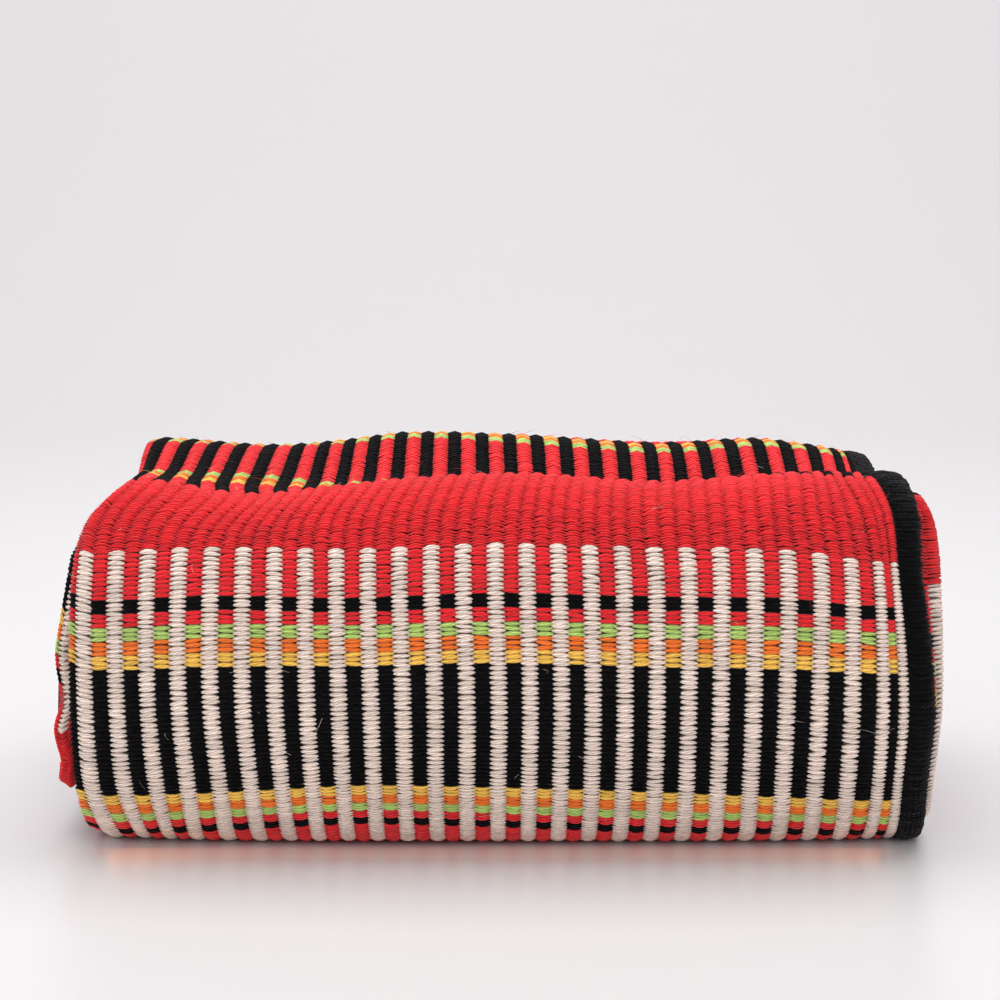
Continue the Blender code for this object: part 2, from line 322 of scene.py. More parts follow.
# Loose fibres stand out of the cloth, and a share of them is white lint. Each
# leans and bends by chance, takes a share of the full length and of that a
# share of rise, rises through part of a sine and thins towards its end.
HAIR_RINGS = 5
HAIR_SIDES = 3
HAIR_RADIUS = 0.00011
HAIR_ROOT = 0.0028
HAIR_START = 0.03
HAIR_LEAN = 0.6
HAIR_LENGTHS = (0.3, 1.0)
HAIR_RISES = (0.15, 0.6)
HAIR_CURVE = 1.4
HAIR_TAPER = 0.7
HAIR_SEED = 77
LINT_SHARE = 0.12

# The yarn's surface: the scales of its grain, of its wandering strands and of its slow patches,
# how much of each goes into its strands, height, tone and roughness, the ply level at which the
# painted shade between the strands is neutral, and the gloss of dark and of other yarn
GRAIN_SCALE = 2600.0
GRAIN_DETAIL = 2.0
WANDER_SCALE = 420.0
PATCH_SCALE = 28.0
SOFT_DETAIL = 1.0
WANDER_TURNS = 0.9
GRAIN_HEIGHT = 0.9
GRAIN_TONE = 2.0
TONE_MIDDLE = 2.0
PLY_MIDDLE = 0.65
GRAIN_ROUGHNESS = 0.12
BUMP_DISTANCE = 0.0002
DARK_BELOW = 0.05
DARK_SPECULAR = 0.06
PALE_SPECULAR = 0.2
SHEEN_ROUGHNESS = 0.5
DARK_SHEEN_TINT = (0.95, 0.92, 1.0, 1.0)
PALE_SHEEN_TINT = (1.0, 0.9, 0.88, 1.0)
YARN_STRANDS = 4.5
YARN_TWIST = 0.12

# The lamps. The glow stands in for the light that the cloth throws on the floor
# at its foot.
Lamp = namedtuple("Lamp", "name place target size colour")
LAMPS = (
    Lamp("key", (0.0, 0.15, 1.7), (0.0, 0.0, 0.1), (2.2, 1.3), (1.0, 1.0, 1.0)),
    Lamp("fill", (-0.4, -2.1, 1.45), (0.0, 0.0, 0.1), (2.4, 1.2), (1.0, 1.0, 1.0)),
    Lamp("wall", (0.0, 1.7, 2.4), (0.0, 3.6, 0.7), (4.0, 0.8), (1.0, 0.955, 0.96)),
    Lamp("glow", (0.0, -0.100, 0.012), (0.0, -0.25, -0.03), (0.42, 0.016), (1.0, 0.26, 0.04)),
)

# The floor turns up into a wall behind the throw
FLOOR_ROUGHNESS = 0.36
FLOOR_IOR = 1.9
COVE_START = 1.6
COVE_RADIUS = 2.0
COVE_HEIGHT = 6.0
COVE_SIDE = 9.0
COVE_STEPS = 33

# The camera looks a little down at the middle of the front
CAMERA_X = 0.0035
CAMERA_DISTANCE = 1.388
CAMERA_HEIGHT = 0.400
CAMERA_PITCH = math.radians(9.18)
CAMERA_VIEW = math.radians(22.97)


def eased(value, start, end):
    """0 before start, 1 after end, and level at both."""
    t = np.clip((value - start) / (end - start), 0.0, 1.0)
    return t * t * (3.0 - 2.0 * t)


def level_height(level):
    """Height of a pass's middle layer, for levels counted from the bottom."""
    return THICKNESS / 2 + LAYER_PITCH * (LAYERS_PER_PASS * level + 1)


def turn_points(turn):
    """Rows of depth, height and drift round one turn: two quarters of a
    superellipse that meet at its tip."""
    outward = -1.0 if turn.side == "front" else 1.0
    low, high = level_height(turn.first), level_height(turn.last)
    angle = np.linspace(-np.pi / 2, np.pi / 2, TURN_STEPS + 1)
    first_half = angle < 0
    power = 2.0 / np.where(first_half, turn.square_in, turn.square_out)
    reach = np.where(first_half, turn.waist - low, high - turn.waist)
    along = np.abs(np.cos(angle)) ** power
    across = np.sign(angle) * np.abs(np.sin(angle)) ** power
    along[[0, -1]] = 0.0
    depth = turn.tip + outward * turn.bulge * (along - 1.0)
    height = turn.waist + reach * across
    return np.stack([depth, height, np.full_like(depth, turn.drift)], axis=1)


def strip_path():
    """Rows of depth, height and drift along the middle layer, evenly spaced, and
    the length along it at which each turn starts and ends."""
    start = [[START_DEPTH, level_height(TURNS[0].first), START_DRIFT]]
    end = [[END_DEPTH, level_height(TURNS[-1].last), END_DRIFT]]
    corners = np.concatenate([start, *[turn_points(turn) for turn in TURNS], end])
    steps = np.linalg.norm(np.diff(corners[:, :2], axis=0), axis=1)
    length = np.concatenate([[0.0], np.cumsum(steps)])
    first = 1 + np.arange(len(TURNS)) * (TURN_STEPS + 1)
    spans = np.stack([length[first], length[first + TURN_STEPS]], axis=1)
    keep = np.concatenate([[True], steps > SAME_POINT])
    even = np.linspace(0.0, length[-1], int(length[-1] / DENSE_STEP))
    columns = [np.interp(even, length[keep], column) for column in corners[keep].T]
    return even, np.stack(columns, axis=1), spans


def outward_normals(path):
    """Unit normals of the path on the side of the visible layer."""
    tangent = np.gradient(path[:, :2], axis=0)
    tangent /= np.linalg.norm(tangent, axis=1)[:, None]
    return np.stack([-tangent[:, 1], tangent[:, 0]], axis=1)


LENGTHS, STRIP, TURN_SPANS = strip_path()
OUTWARD = outward_normals(STRIP)
STRIP_LENGTH = LENGTHS[-1]

# Where the layers end, measured across the unfolded sheet from its outer edge
VISIBLE_END = OUTER_EDGE_X - LEFT_FOLD_X
LEFT_TURN_END = VISIBLE_END + np.pi * FOLD_TAKE
MIDDLE_END = LEFT_TURN_END + RIGHT_FOLD_X - LEFT_FOLD_X
RIGHT_TURN_END = MIDDLE_END + np.pi * FOLD_TAKE
SHEET_WIDTH = RIGHT_TURN_END + RIGHT_FOLD_X - INNER_EDGE_X


def curve_shares(knots, place):
    """How much each knot's value counts at a place, for a smooth curve through
    all of them that runs level past both ends."""
    knots = np.asarray(knots)
    place = np.clip(place, knots[0], knots[-1])
    k = (np.searchsorted(knots, place, side="right") - 1).clip(0, len(knots) - 2)
    gap = (knots[k + 1] - knots[k])[..., None]
    t = (place - knots[k])[..., None] / gap
    value = np.eye(len(knots))
    slope = np.zeros_like(value)
    slope[1:-1] = (value[2:] - value[:-2]) / (knots[2:] - knots[:-2])[:, None]
    ends = value[k] * (1 + 2 * t) * (1 - t) ** 2 + value[k + 1] * t * t * (3 - 2 * t)
    return ends + gap * (slope[k] * t * (1 - t) ** 2 - slope[k + 1] * t * t * (1 - t))


def table_value(rows, knots, x, place):
    """A table's smooth value: its rows stand at their x and its columns at knots."""
    table = np.array(rows)
    columns = curve_shares(table[:, 0], x) @ table[:, 1:]
    return (columns * curve_shares(knots, place)).sum(axis=-1)


WAVE_KNOTS, WAVE_DEPTHS = zip(*WAVES)
WAVE_PLACES = np.linspace(WAVE_KNOTS[0], WAVE_KNOTS[-1], len(WAVES) * WAVE_STEPS)
WAVE_LINE = curve_shares(WAVE_KNOTS, WAVE_PLACES) @ WAVE_DEPTHS


def softened(x, depth, z):
    """The evenly folded points as they lie: the top swells and sinks, the cloth
    is drawn sideways, the ends of the front fall back and the low left droops."""
    level = z / HEIGHT
    reach = z + depth * eased(level, *TOP_SHARE)
    across = (x - MIDDLE_X) / HALF_WIDTH
    bow = FRONT_BOW * across**4 * eased(depth, *BOW_REACH)
    new_x = x + table_value(DRAWS, DRAW_REACHES, x, reach) - WIDTH_CENTRE
    droop = DROOP * eased(x, *DROOP_X) * eased(z, *DROOP_START) * eased(z, *DROOP_FADE)
    lift = table_value(LIFTS, LIFT_DEPTHS, x, depth) * eased(level, *LIFT_LEVEL)
    new_z = np.maximum(z + lift - droop, FLOOR_CLEARANCE)
    return np.stack([new_x, depth + bow - DEPTH_CENTRE, new_z], axis=-1)


def section_line(across):
    """Where the sheet lies in the strip's section, and which way its face looks
    there: straight layers joined by two half circles. `across` is measured over
    the unfolded sheet from its outer edge."""
    left = np.clip((across - VISIBLE_END) / FOLD_TAKE, 0.0, np.pi)
    right = np.clip((across - MIDDLE_END) / FOLD_TAKE, 0.0, np.pi)
    straight = (
        np.clip(across - LEFT_TURN_END, 0.0, RIGHT_FOLD_X - LEFT_FOLD_X)
        - np.minimum(across, VISIBLE_END)
        - np.maximum(across - RIGHT_TURN_END, 0.0)
    )
    x = OUTER_EDGE_X + straight + FOLD_RADIUS * (np.sin(right) - np.sin(left))
    offset = LAYER_PITCH - FOLD_RADIUS * (2.0 - np.cos(left) - np.cos(right))
    return x, offset, -np.sin(left) - np.sin(right), np.cos(left) * np.cos(right)


def in_section(x, offset, along):
    """Points at a place in the strip's section and a length along the strip."""
    depth, z, drift = (np.interp(along, LENGTHS, column) for column in STRIP.T)
    out_depth, out_z = (np.interp(along, LENGTHS, column) for column in OUTWARD.T)
    return softened(x + drift, depth + out_depth * offset, z + out_z * offset)


def slipped(across, along):
    """Where the cloth lies across its fold map, once the ribs near the left fold
    have slipped."""
    table = np.array(SLIPS)
    shift = np.interp(along - TURN_SPANS[0][1], table[:, 0], table[:, 1])
    near = eased(across, VISIBLE_END - SLIP_REACH, VISIBLE_END)
    return across - shift * near * eased(across, LEFT_TURN_END + SLIP_REACH, LEFT_TURN_END)


def edge_wave(across, along):
    """How far the left fold's outline waves in there."""
    near = eased(across, VISIBLE_END - WAVE_REACH, VISIBLE_END)
    near = near * eased(across, LEFT_TURN_END + WAVE_REACH, LEFT_TURN_END)
    return near * np.interp(along - TURN_SPANS[-1][0], WAVE_PLACES, WAVE_LINE)


def on_sheet(across, along, lift):
    """Points of the folded sheet: across it from its outer edge, along the strip,
    and lifted from the middle of the cloth towards its face."""
    x, offset, face_x, face_offset = section_line(slipped(across, along))
    x = x + edge_wave(across, along)
    return in_section(x + face_x * lift, offset + face_offset * lift, along)


def rib_layout():
    """How far across the sheet the middle of each rib lies, and half of its
    width. The visible ribs follow RIB_PLACES, and the others are evenly spaced
    but for a small spread."""
    places = np.array(RIB_PLACES)
    numbers = np.arange(LAST_VISIBLE_RIB + 1)
    visible = np.interp(numbers, places[:, 0], OUTER_EDGE_X - places[:, 1])
    count = int((SHEET_WIDTH - visible[-1]) / RIB_PITCH)
    spread = np.random.default_rng(RIB_SEED).normal(0.0, RIB_SPREAD, count)
    hidden = visible[-1] + RIB_PITCH * np.arange(1, count + 1) + spread
    middle = np.concatenate([visible, hidden])
    edges = (middle[1:] + middle[:-1]) / 2
    edges = np.concatenate([[2 * middle[0] - edges[0]], edges, [2 * middle[-1] - edges[-1]]])
    return middle, edges


RIB_MIDDLES, RIB_EDGES = rib_layout()


def warp_lengths():
    """Length of the warp at each step of the strip, for each visible rib, from
    the middle of the white panel on the front face, as its rows are beaten."""
    across = RIB_MIDDLES[: LAST_VISIBLE_RIB + 1, None]
    points = on_sheet(across, LENGTHS[None, :], COUNT_LIFT)
    steps = np.linalg.norm(np.diff(points, axis=1), axis=2)
    length = np.concatenate([np.zeros_like(across), np.cumsum(steps, axis=1)], axis=1)
    face = (LENGTHS > TURN_SPANS[0][0]) & (LENGTHS < TURN_SPANS[0][1])
    for rib, row in enumerate(points):
        along = np.interp(COUNT_HEIGHT, row[face, 2], LENGTHS[face])
        length[rib] -= np.interp(along, LENGTHS, length[rib])
    count = length / PICK_PITCH
    beaten = PICK_PITCH * table_value(BEATS, BEAT_COUNTS, OUTER_EDGE_X - across, count)
    spread = np.interp(LENGTHS, [*TURN_SPANS[2], *TURN_SPANS[6]], [0.0, 1.0, 1.0, 2.0])
    inner, last = np.minimum(spread, 1.0), np.maximum(spread - 1.0, 0.0)
    slack = INNER_SPREAD * inner + LAST_SPREAD * last
    return length + beaten - slack


WARP = warp_lengths()


def slip_of(across):
    """How far the rows have slipped by there, past the left fold, at each step
    of the strip. They have slipped less at the ridge than on the front."""
    share = np.clip((across - LEFT_TURN_END) / (MIDDLE_END - LEFT_TURN_END), 0.0, 1.0)
    ridge = TURN_SPANS[0][1]
    along = np.interp(LENGTHS, [ridge - RIDGE_SLIP_RUN, ridge], [1.0, RIDGE_SLIP_SHARE])
    return UNDER_LAYER_SLIP * share * along


def warp_of(rib):
    """Warp length at each step of the strip for any rib of the sheet."""
    visible = min(max(rib, 0), LAST_VISIBLE_RIB)
    if rib <= LAST_VISIBLE_RIB:
        return WARP[visible]
    return WARP[visible] + slip_of(RIB_MIDDLES[rib])


def yarn_numbers(place, odd):
    """Number in YARNS of the yarn at a place, in picks, on odd or even ribs."""
    ends = np.cumsum([stripe.picks for stripe in REPEAT])
    row = np.searchsorted(ends, np.mod(place, REPEAT_PICKS), side="right")
    row = row.clip(0, len(REPEAT) - 1)
    evens = np.array([YARNS.index(stripe.even) for stripe in REPEAT])
    odds = np.array([YARNS.index(stripe.odd) for stripe in REPEAT])
    return np.where(odd, odds[row], evens[row])


def signed_volume(points, faces):
    """Volume inside closed triangles, negative if they face inwards."""
    a, b, c = (points[faces[:, i]] for i in range(3))
    return np.einsum("ij,ij->i", a, np.cross(b, c)).sum() / 6.0


def split_quads(quads):
    """Two triangles for each row of four corners."""
    return np.concatenate([quads[:, [0, 1, 2]], quads[:, [0, 2, 3]]])


def ring_quads(rings, sides):
    """Corners of the faces between closed rings of points, ring after ring."""
    ring = np.arange(rings - 1)[:, None] * sides
    side = np.arange(sides)[None, :]
    following = (side + 1) % sides
    corners = (ring + side, ring + following, ring + sides + following, ring + sides + side)
    return np.stack([corner.reshape(-1) for corner in corners], axis=1)


def repeated(faces, count, corners):
    """The triangles of one shape, for each of a number of equal shapes."""
    return (faces[None] + np.arange(count)[:, None, None] * corners).reshape(-1, 3)


def make_piece(name, points, faces, material, uv, tone):
    """A mesh object from arrays of points and triangles, with a place on the
    yarn and a tone at each point, shaded smooth and facing outwards."""
    if signed_volume(points, faces) < 0:
        faces = faces[:, ::-1]
    mesh = bpy.data.meshes.new(name)
    mesh.vertices.add(len(points))
    mesh.vertices.foreach_set("co", points.astype(np.float32).ravel())
    mesh.loops.add(faces.size)
    mesh.loops.foreach_set("vertex_index", faces.astype(np.int32).ravel())
    mesh.polygons.add(len(faces))
    mesh.polygons.foreach_set("loop_start", np.arange(0, faces.size, 3, dtype=np.int32))
    mesh.update(calc_edges=True)
    mesh.validate()
    mesh.shade_smooth()
    layer = mesh.uv_layers.new(name="yarn_place")
    layer.data.foreach_set("uv", uv[faces.ravel()].astype(np.float32).ravel())
    shade = mesh.attributes.new("tone", "FLOAT", "POINT")
    shade.data.foreach_set("value", tone.astype(np.float32))
    mesh.materials.append(material)
    piece = bpy.data.objects.new(name, mesh)
    bpy.context.scene.collection.objects.link(piece)
    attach(piece, "root")
    return piece


def ground_stations():
    """Lengths along the strip, closer together where the folds and the hollows of
    the top bend it more, so that the ground stays under the floats everywhere."""
    watched = RIB_MIDDLES[list(GROUND_WATCHED)]
    steps = np.diff(on_sheet(watched[:, None], LENGTHS[None, :], 0.0), axis=1)
    ways = steps / np.linalg.norm(steps, axis=2, keepdims=True)
    turning = np.linalg.norm(np.diff(ways, axis=1), axis=2).max(axis=0)
    bend = np.concatenate([turning[:1], turning, turning[-1:]]) / DENSE_STEP
    effort = np.cumsum(np.sqrt(bend + GROUND_LEAST_BEND))
    even = np.interp(np.linspace(0.0, effort[-1], GROUND_ROWS), effort, LENGTHS)
    hems = np.array([hem.inset for hem in HEMS])
    inner = even[(even > hems[-1] * 2) & (even < STRIP_LENGTH - hems[-1] * 2)]
    return np.concatenate([hems, inner, STRIP_LENGTH - hems[::-1]])


def ground_surface():
    """The ground as rings round the whole folded section, one ring a station:
    out over the face of every layer and back over its reverse, standing up at
    the middle of each rib and sinking at its edges. Its place is counted in
    ribs and picks, and the reverse is one rib on, which swaps the colours."""
    ribs = len(RIB_MIDDLES)
    columns = np.empty(2 * ribs + 1)
    columns[0::2] = RIB_EDGES.clip(0.0, SHEET_WIDTH)
    columns[1::2] = RIB_MIDDLES
    lift = np.full(len(columns), GROUND_VALLEY)
    lift[1::2] = GROUND_CREST
    lift[[0, -1]] = GROUND_EDGE
    number = np.arange(len(columns)) / 2 - 0.5
    stations = ground_stations()
    thin = np.interp(np.minimum(stations, STRIP_LENGTH - stations), *zip(*HEMS))
    across = np.concatenate([columns, columns[::-1]])
    lift = np.concatenate([lift, -lift[::-1]])
    points = on_sheet(across[None, :], stations[:, None], lift[None, :] * thin[:, None])
    nearest = np.clip(number.round(), 0, ribs - 1).astype(int)
    warps = [np.interp(stations, LENGTHS, warp_of(rib)) for rib in nearest]
    warps = np.stack(warps, axis=1) / PICK_PITCH
    places = np.stack([
        np.broadcast_to(np.concatenate([number, number[::-1] + 1]), points.shape[:2]),
        np.concatenate([warps, warps[:, ::-1]], axis=1),
    ], axis=-1)
    size = len(across)
    quads = ring_quads(len(stations), size)
    side = np.arange(size // 2 - 1)
    cap = np.stack([side, size - 1 - side, size - 2 - side, side + 1], axis=1)
    quads = np.concatenate([quads, cap, cap[:, ::-1] + (len(stations) - 1) * size])
    return points.reshape(-1, 3), split_quads(quads), places.reshape(-1, 2)


def end_fans(first, last, start, rings, sides):
    """Triangles that close a roll of rings, whose points are numbered from start,
    with a point at its first end and another at its last."""
    side = np.arange(sides)
    following = (side + 1) % sides
    final = start + (rings - 1) * sides
    return (
        np.stack([np.full(sides, first), start + following, start + side], axis=1),
        np.stack([np.full(sides, last), final + side, final + following], axis=1),
    )


def float_template(rings, sides):
    """One float as closed rings from tip to tip: how far each point lies along
    the yarn, in half ribs, to the side and up, and the triangles. Its section
    is a round arch over one low point: full in the middle of the float, it
    tapers to a point at both tips."""
    reach = np.linspace(-1.0, 1.0, rings + 2)[1:-1]
    reach *= LAST_RING / reach[-1]
    plump = (1.0 - np.abs(reach) ** TAPER_POWER) ** PLUMP_POWER
    arch = np.linspace(-np.pi / 2, np.pi / 2, sides - 1)
    side = np.concatenate([np.sin(arch), [0.0]])
    up = np.concatenate([np.cos(arch) * ARCH_RISE - ARCH_DROP, [LOW_POINT]])
    body = np.stack([
        np.repeat(reach, sides),
        (plump[:, None] * side).ravel(),
        (plump[:, None] * up).ravel(),
    ], axis=1)
    points = np.concatenate([[[-1.0, 0.0, 0.0]], body, [[1.0, 0.0, 0.0]]])
    quads = split_quads(ring_quads(rings, sides) + 1)
    first, last = end_fans(0, len(points) - 1, 1, rings, sides)
    turn = np.concatenate([[0.0], np.tile(np.arange(sides) / sides, rings), [0.0]])
    return points, np.concatenate([first, quads, last]), turn


def float_places(low, high, offset):
    """Places, in picks, of one rib's floats, and their size: one to each pick,
    but closer and smaller over the plain bands."""
    picks = np.arange(math.ceil(low - offset), math.floor(high - offset) + 1) + offset
    first, last = math.ceil(low / PLAIN_SHARE), math.floor(high / PLAIN_SHARE)
    fine = np.arange(first, last + 1) * PLAIN_SHARE
    picks = picks[yarn_numbers(picks, True) != yarn_numbers(picks, False)]
    nearby = fine + PLAIN_MARGIN * np.array([[-1.0], [1.0]])
    fine = fine[(yarn_numbers(nearby, True) == yarn_numbers(nearby, False)).any(axis=0)]
    size = np.concatenate([np.ones(len(picks)), np.full(len(fine), PLAIN_SHARE)])
    return np.concatenate([picks, fine]), size


FloatRows = namedtuple("FloatRows", "rib along slope stretch size yarn")


def float_rows(ribs, start, end, reverse):
    """Where each float of these ribs lies between two lengths of the strip: its
    rib, its length along the strip, how the row slopes there, how much the
    strip is stretched, its size and its yarn. The reverse shows the other set's
    yarn."""
    found = []
    for rib in ribs:
        warp = warp_of(rib)
        low, high = np.interp([start, end], LENGTHS, warp) / PICK_PITCH
        pick, size = float_places(low, high, 0.5 * (rib % 2))
        length = pick * PICK_PITCH
        along = np.interp(length, warp, LENGTHS)
        before, after = (np.interp(length, warp_of(r), LENGTHS) for r in (rib - 1, rib + 1))
        right = RIB_MIDDLES[min(rib + 1, len(RIB_MIDDLES) - 1)]
        gap = right - RIB_MIDDLES[max(rib - 1, 0)]
        ahead = np.interp(length + PICK_PITCH, warp, LENGTHS)
        odd = bool(rib % 2) != reverse
        found.append(FloatRows(
            np.full(len(pick), rib), along, (after - before) / gap,
            (ahead - along) / PICK_PITCH, size, yarn_numbers(pick, odd),
        ))
    return FloatRows(*(np.concatenate(column) for column in zip(*found)))


def float_meshes(rows, weave, rings, sides, reverse, seed):
    """Points, triangles, places and tones of all these floats. Each follows its
    rib's round back from valley to valley, dips its tips under the neighbours,
    and leans, swells and shifts a little by chance."""
    template, faces, turn = float_template(rings, sides)
    count = len(rows.rib)
    chance = np.random.default_rng(seed)
    lean, shift, swell, rise = chance.normal(0.0, 1.0, (4, count, 1)) * weave.unevenness
    reach, side, up = (column[None, :] for column in template.T)
    half = (RIB_EDGES[rows.rib + 1] - RIB_EDGES[rows.rib])[:, None] / 2
    yarn = reach * FLOAT_REACH * half
    across = RIB_MIDDLES[rows.rib][:, None] + yarn
    size = rows.size[:, None]
    breadth = weave.float_breadth / 2 * size * (1.0 + SWELL_BREADTH * swell)
    arc = np.where(size < 1.0, PLAIN_ARC, FLOAT_ARC)
    run = side * breadth + lean * LEAN_SLOPE * yarn + shift * SHIFT_REACH - arc * reach**2
    along = rows.along[:, None] + rows.slope[:, None] * yarn + run * rows.stretch[:, None]
    round_back = np.cos(np.pi / 2 * np.abs(reach)) ** ROUND_BACK_POWER
    height = weave.valley_height + (weave.crest_height - weave.valley_height) * round_back
    height = height - FLOAT_SINK * np.abs(reach) ** FLOAT_SINK_POWER + rise * RISE_REACH
    lift = height + up * weave.float_height * (1.0 + SWELL_HEIGHT * swell)
    points = on_sheet(across, along, -lift if reverse else lift)
    corners = template.shape[0]
    spread = chance.uniform(0, YARN_PLACE_SPREAD, (count, 1))
    places = np.stack([
        np.broadcast_to(yarn * YARN_PLACE_SCALE, (count, corners)) + spread,
        np.broadcast_to(turn, (count, corners)),
    ], axis=-1)
    tone = np.repeat(chance.uniform(0.0, 1.0, count), corners)
    return points.reshape(-1, 3), repeated(faces, count, corners), places.reshape(-1, 2), tone


def hair_surface(fuzz, seed):
    """Points of each loose fibre, the triangles of one, and their yarns: closed
    curved cones that spring from the ribs of the outer wrap, and lean and bend
    over by chance."""
    chance = np.random.default_rng(seed)
    shape = (fuzz.count, 1)
    rib = chance.integers(0, LAST_VISIBLE_RIB + 2, fuzz.count)
    root = chance.uniform(TURN_SPANS[0][0] + HAIR_START, TURN_SPANS[1][1], shape)
    lean, sweep, bend = chance.normal(0.0, HAIR_LEAN, (3, *shape))
    length = fuzz.reach * chance.uniform(*HAIR_LENGTHS, shape)
    part = np.linspace(0.0, 1.0, HAIR_RINGS)[None, :]
    across = RIB_MIDDLES[rib][:, None] + length * (lean * part + bend * part**2)
    rise = length * chance.uniform(*HAIR_RISES, shape) * np.sin(HAIR_CURVE * part)
    centre = on_sheet(across, root + length * sweep * part, HAIR_ROOT + rise)
    ahead = np.gradient(centre, axis=1)
    ahead /= np.linalg.norm(ahead, axis=2, keepdims=True)
    side = np.cross(ahead, chance.normal(0.0, 1.0, (*shape, 3)))
    side /= np.linalg.norm(side, axis=2, keepdims=True)
    up = np.cross(ahead, side)
    turn = np.arange(HAIR_SIDES) / HAIR_SIDES * 2 * np.pi
    ring = np.cos(turn)[:, None] * side[:, :, None] + np.sin(turn)[:, None] * up[:, :, None]
    thick = HAIR_RADIUS * (1.0 - HAIR_TAPER * part[..., None, None])
    points = (centre[:, :, None] + thick * ring).reshape(fuzz.count, -1, 3)
    corners = HAIR_RINGS * HAIR_SIDES
    ends = [[2, 1, 0], [corners - 3, corners - 2, corners - 1]]
    faces = np.concatenate([split_quads(ring_quads(HAIR_RINGS, HAIR_SIDES)), ends])
    pick = np.zeros(fuzz.count)
    for number in np.unique(rib):
        there = rib == number
        pick[there] = np.interp(root[there, 0], LENGTHS, warp_of(number)) / PICK_PITCH
    yarn = np.where(rib % 2 == 1, yarn_numbers(pick, True), yarn_numbers(pick, False))
    lint = chance.uniform(0.0, 1.0, fuzz.count) < LINT_SHARE
    return points, faces, np.where(lint, YARNS.index("white"), yarn)


def binding_surface(centre_x, layer, wraps_warp, binding, sides, rings_per_wrap, seed):
    """A closed roll round one long edge: rounded rings, a few to each wrap of
    yarn, swelling at the wrap's middle, with their line wandering a little round
    the edge, and a point at each end."""
    chance = np.random.default_rng(seed)
    length = wraps_warp[-1] - wraps_warp[0]
    wraps = int(length / binding.wrap_pitch)
    rings = wraps * rings_per_wrap
    number = (np.arange(rings) + 0.5) / rings_per_wrap
    warp = wraps_warp[0] + (number + 0.5) / (wraps + 1) * length
    angle = np.arange(sides) / sides * 2 * np.pi
    wander = chance.normal(0.0, WANDER_SPREAD, (wraps + 2, 3))
    waves = np.stack([np.sin(angle), np.cos(2 * angle), np.sin(3 * angle)])
    wobble = (wander[number.astype(int)] @ waves) * WANDER_SHARE
    phase = number[:, None] + wobble
    ridge = np.sqrt(0.5 - 0.5 * np.cos(2 * np.pi * phase))
    swell = chance.normal(1.0, WRAP_SWELL_SPREAD, (wraps + 2, sides))[number.astype(int)]
    grow = binding.ridge_height * ridge * swell
    power = 2.0 / BINDING_SQUARENESS
    x = np.sign(np.cos(angle)) * np.abs(np.cos(angle)) ** power
    w = np.sign(np.sin(angle)) * np.abs(np.sin(angle)) ** power
    x = centre_x + x * (binding.half_width + grow)
    w = layer + w * (binding.half_thickness + grow)
    along = np.interp(warp, wraps_warp, LENGTHS)
    sway = WRAP_SWAY * np.cos(2 * angle)[None, :]
    points = in_section(x, w, along[:, None] + sway)
    tips = along[[0, -1]] + np.array([-WRAP_END, WRAP_END])
    ends = in_section(np.full(2, centre_x), np.full(2, layer), tips)
    total = rings * sides
    fans = end_fans(total, total + 1, 0, rings, sides)
    faces = np.concatenate([split_quads(ring_quads(rings, sides)), *fans])
    around = np.broadcast_to(angle * BINDING_PLACE_SCALE, (rings, sides))
    places = np.stack([around, np.broadcast_to(phase, (rings, sides))], axis=-1).reshape(-1, 2)
    places = np.concatenate([places, np.zeros((2, 2))])
    tone = np.concatenate([np.repeat(chance.uniform(0, 1, rings), sides), [0.5, 0.5]])
    return np.concatenate([points.reshape(-1, 3), ends]), faces, places, tone


def math_node(tree, operation, *values):
    """A Math node fed by sockets or plain numbers, and its output."""
    node = tree.nodes.new("ShaderNodeMath")
    node.operation = operation
    for socket, value in zip(node.inputs, values):
        if isinstance(value, bpy.types.NodeSocket):
            tree.links.new(value, socket)
        else:
            socket.default_value = value
    return node.outputs[0]


def noise_node(tree, scale, detail):
    """A Noise node over Object coordinates, and its output."""
    coordinates = tree.nodes.new("ShaderNodeTexCoord")
    noise = tree.nodes.new("ShaderNodeTexNoise")
    set_inputs(noise, {"Scale": scale, "Detail": detail})
    tree.links.new(coordinates.outputs["Object"], noise.inputs["Vector"])
    return noise.outputs[0]


def place_outputs(tree):
    """The two numbers of the yarn_place map."""
    place = tree.nodes.new("ShaderNodeUVMap")
    place.uv_map = "yarn_place"
    split = tree.nodes.new("ShaderNodeSeparateXYZ")
    tree.links.new(place.outputs[0], split.inputs[0])
    return split.outputs[0], split.outputs[1]


def set_inputs(node, values):
    """Sets inputs of a node by name."""
    for name, value in values.items():
        node.inputs[name].default_value = value


YARN_INPUTS = (
    ("Yarn Colour", "NodeSocketColor", (0.5, 0.5, 0.5, 1.0)),
    ("Tone Range", "NodeSocketFloat", 0.12),
    ("Strands", "NodeSocketFloat", YARN_STRANDS),
    ("Twist", "NodeSocketFloat", YARN_TWIST),
    ("Strand Shade", "NodeSocketFloat", 0.35),
    ("Roughness", "NodeSocketFloat", 0.85),
)
YARN_OUTPUTS = (
    ("Colour", "NodeSocketColor"),
    ("Roughness", "NodeSocketFloat"),
    ("Height", "NodeSocketFloat"),
)


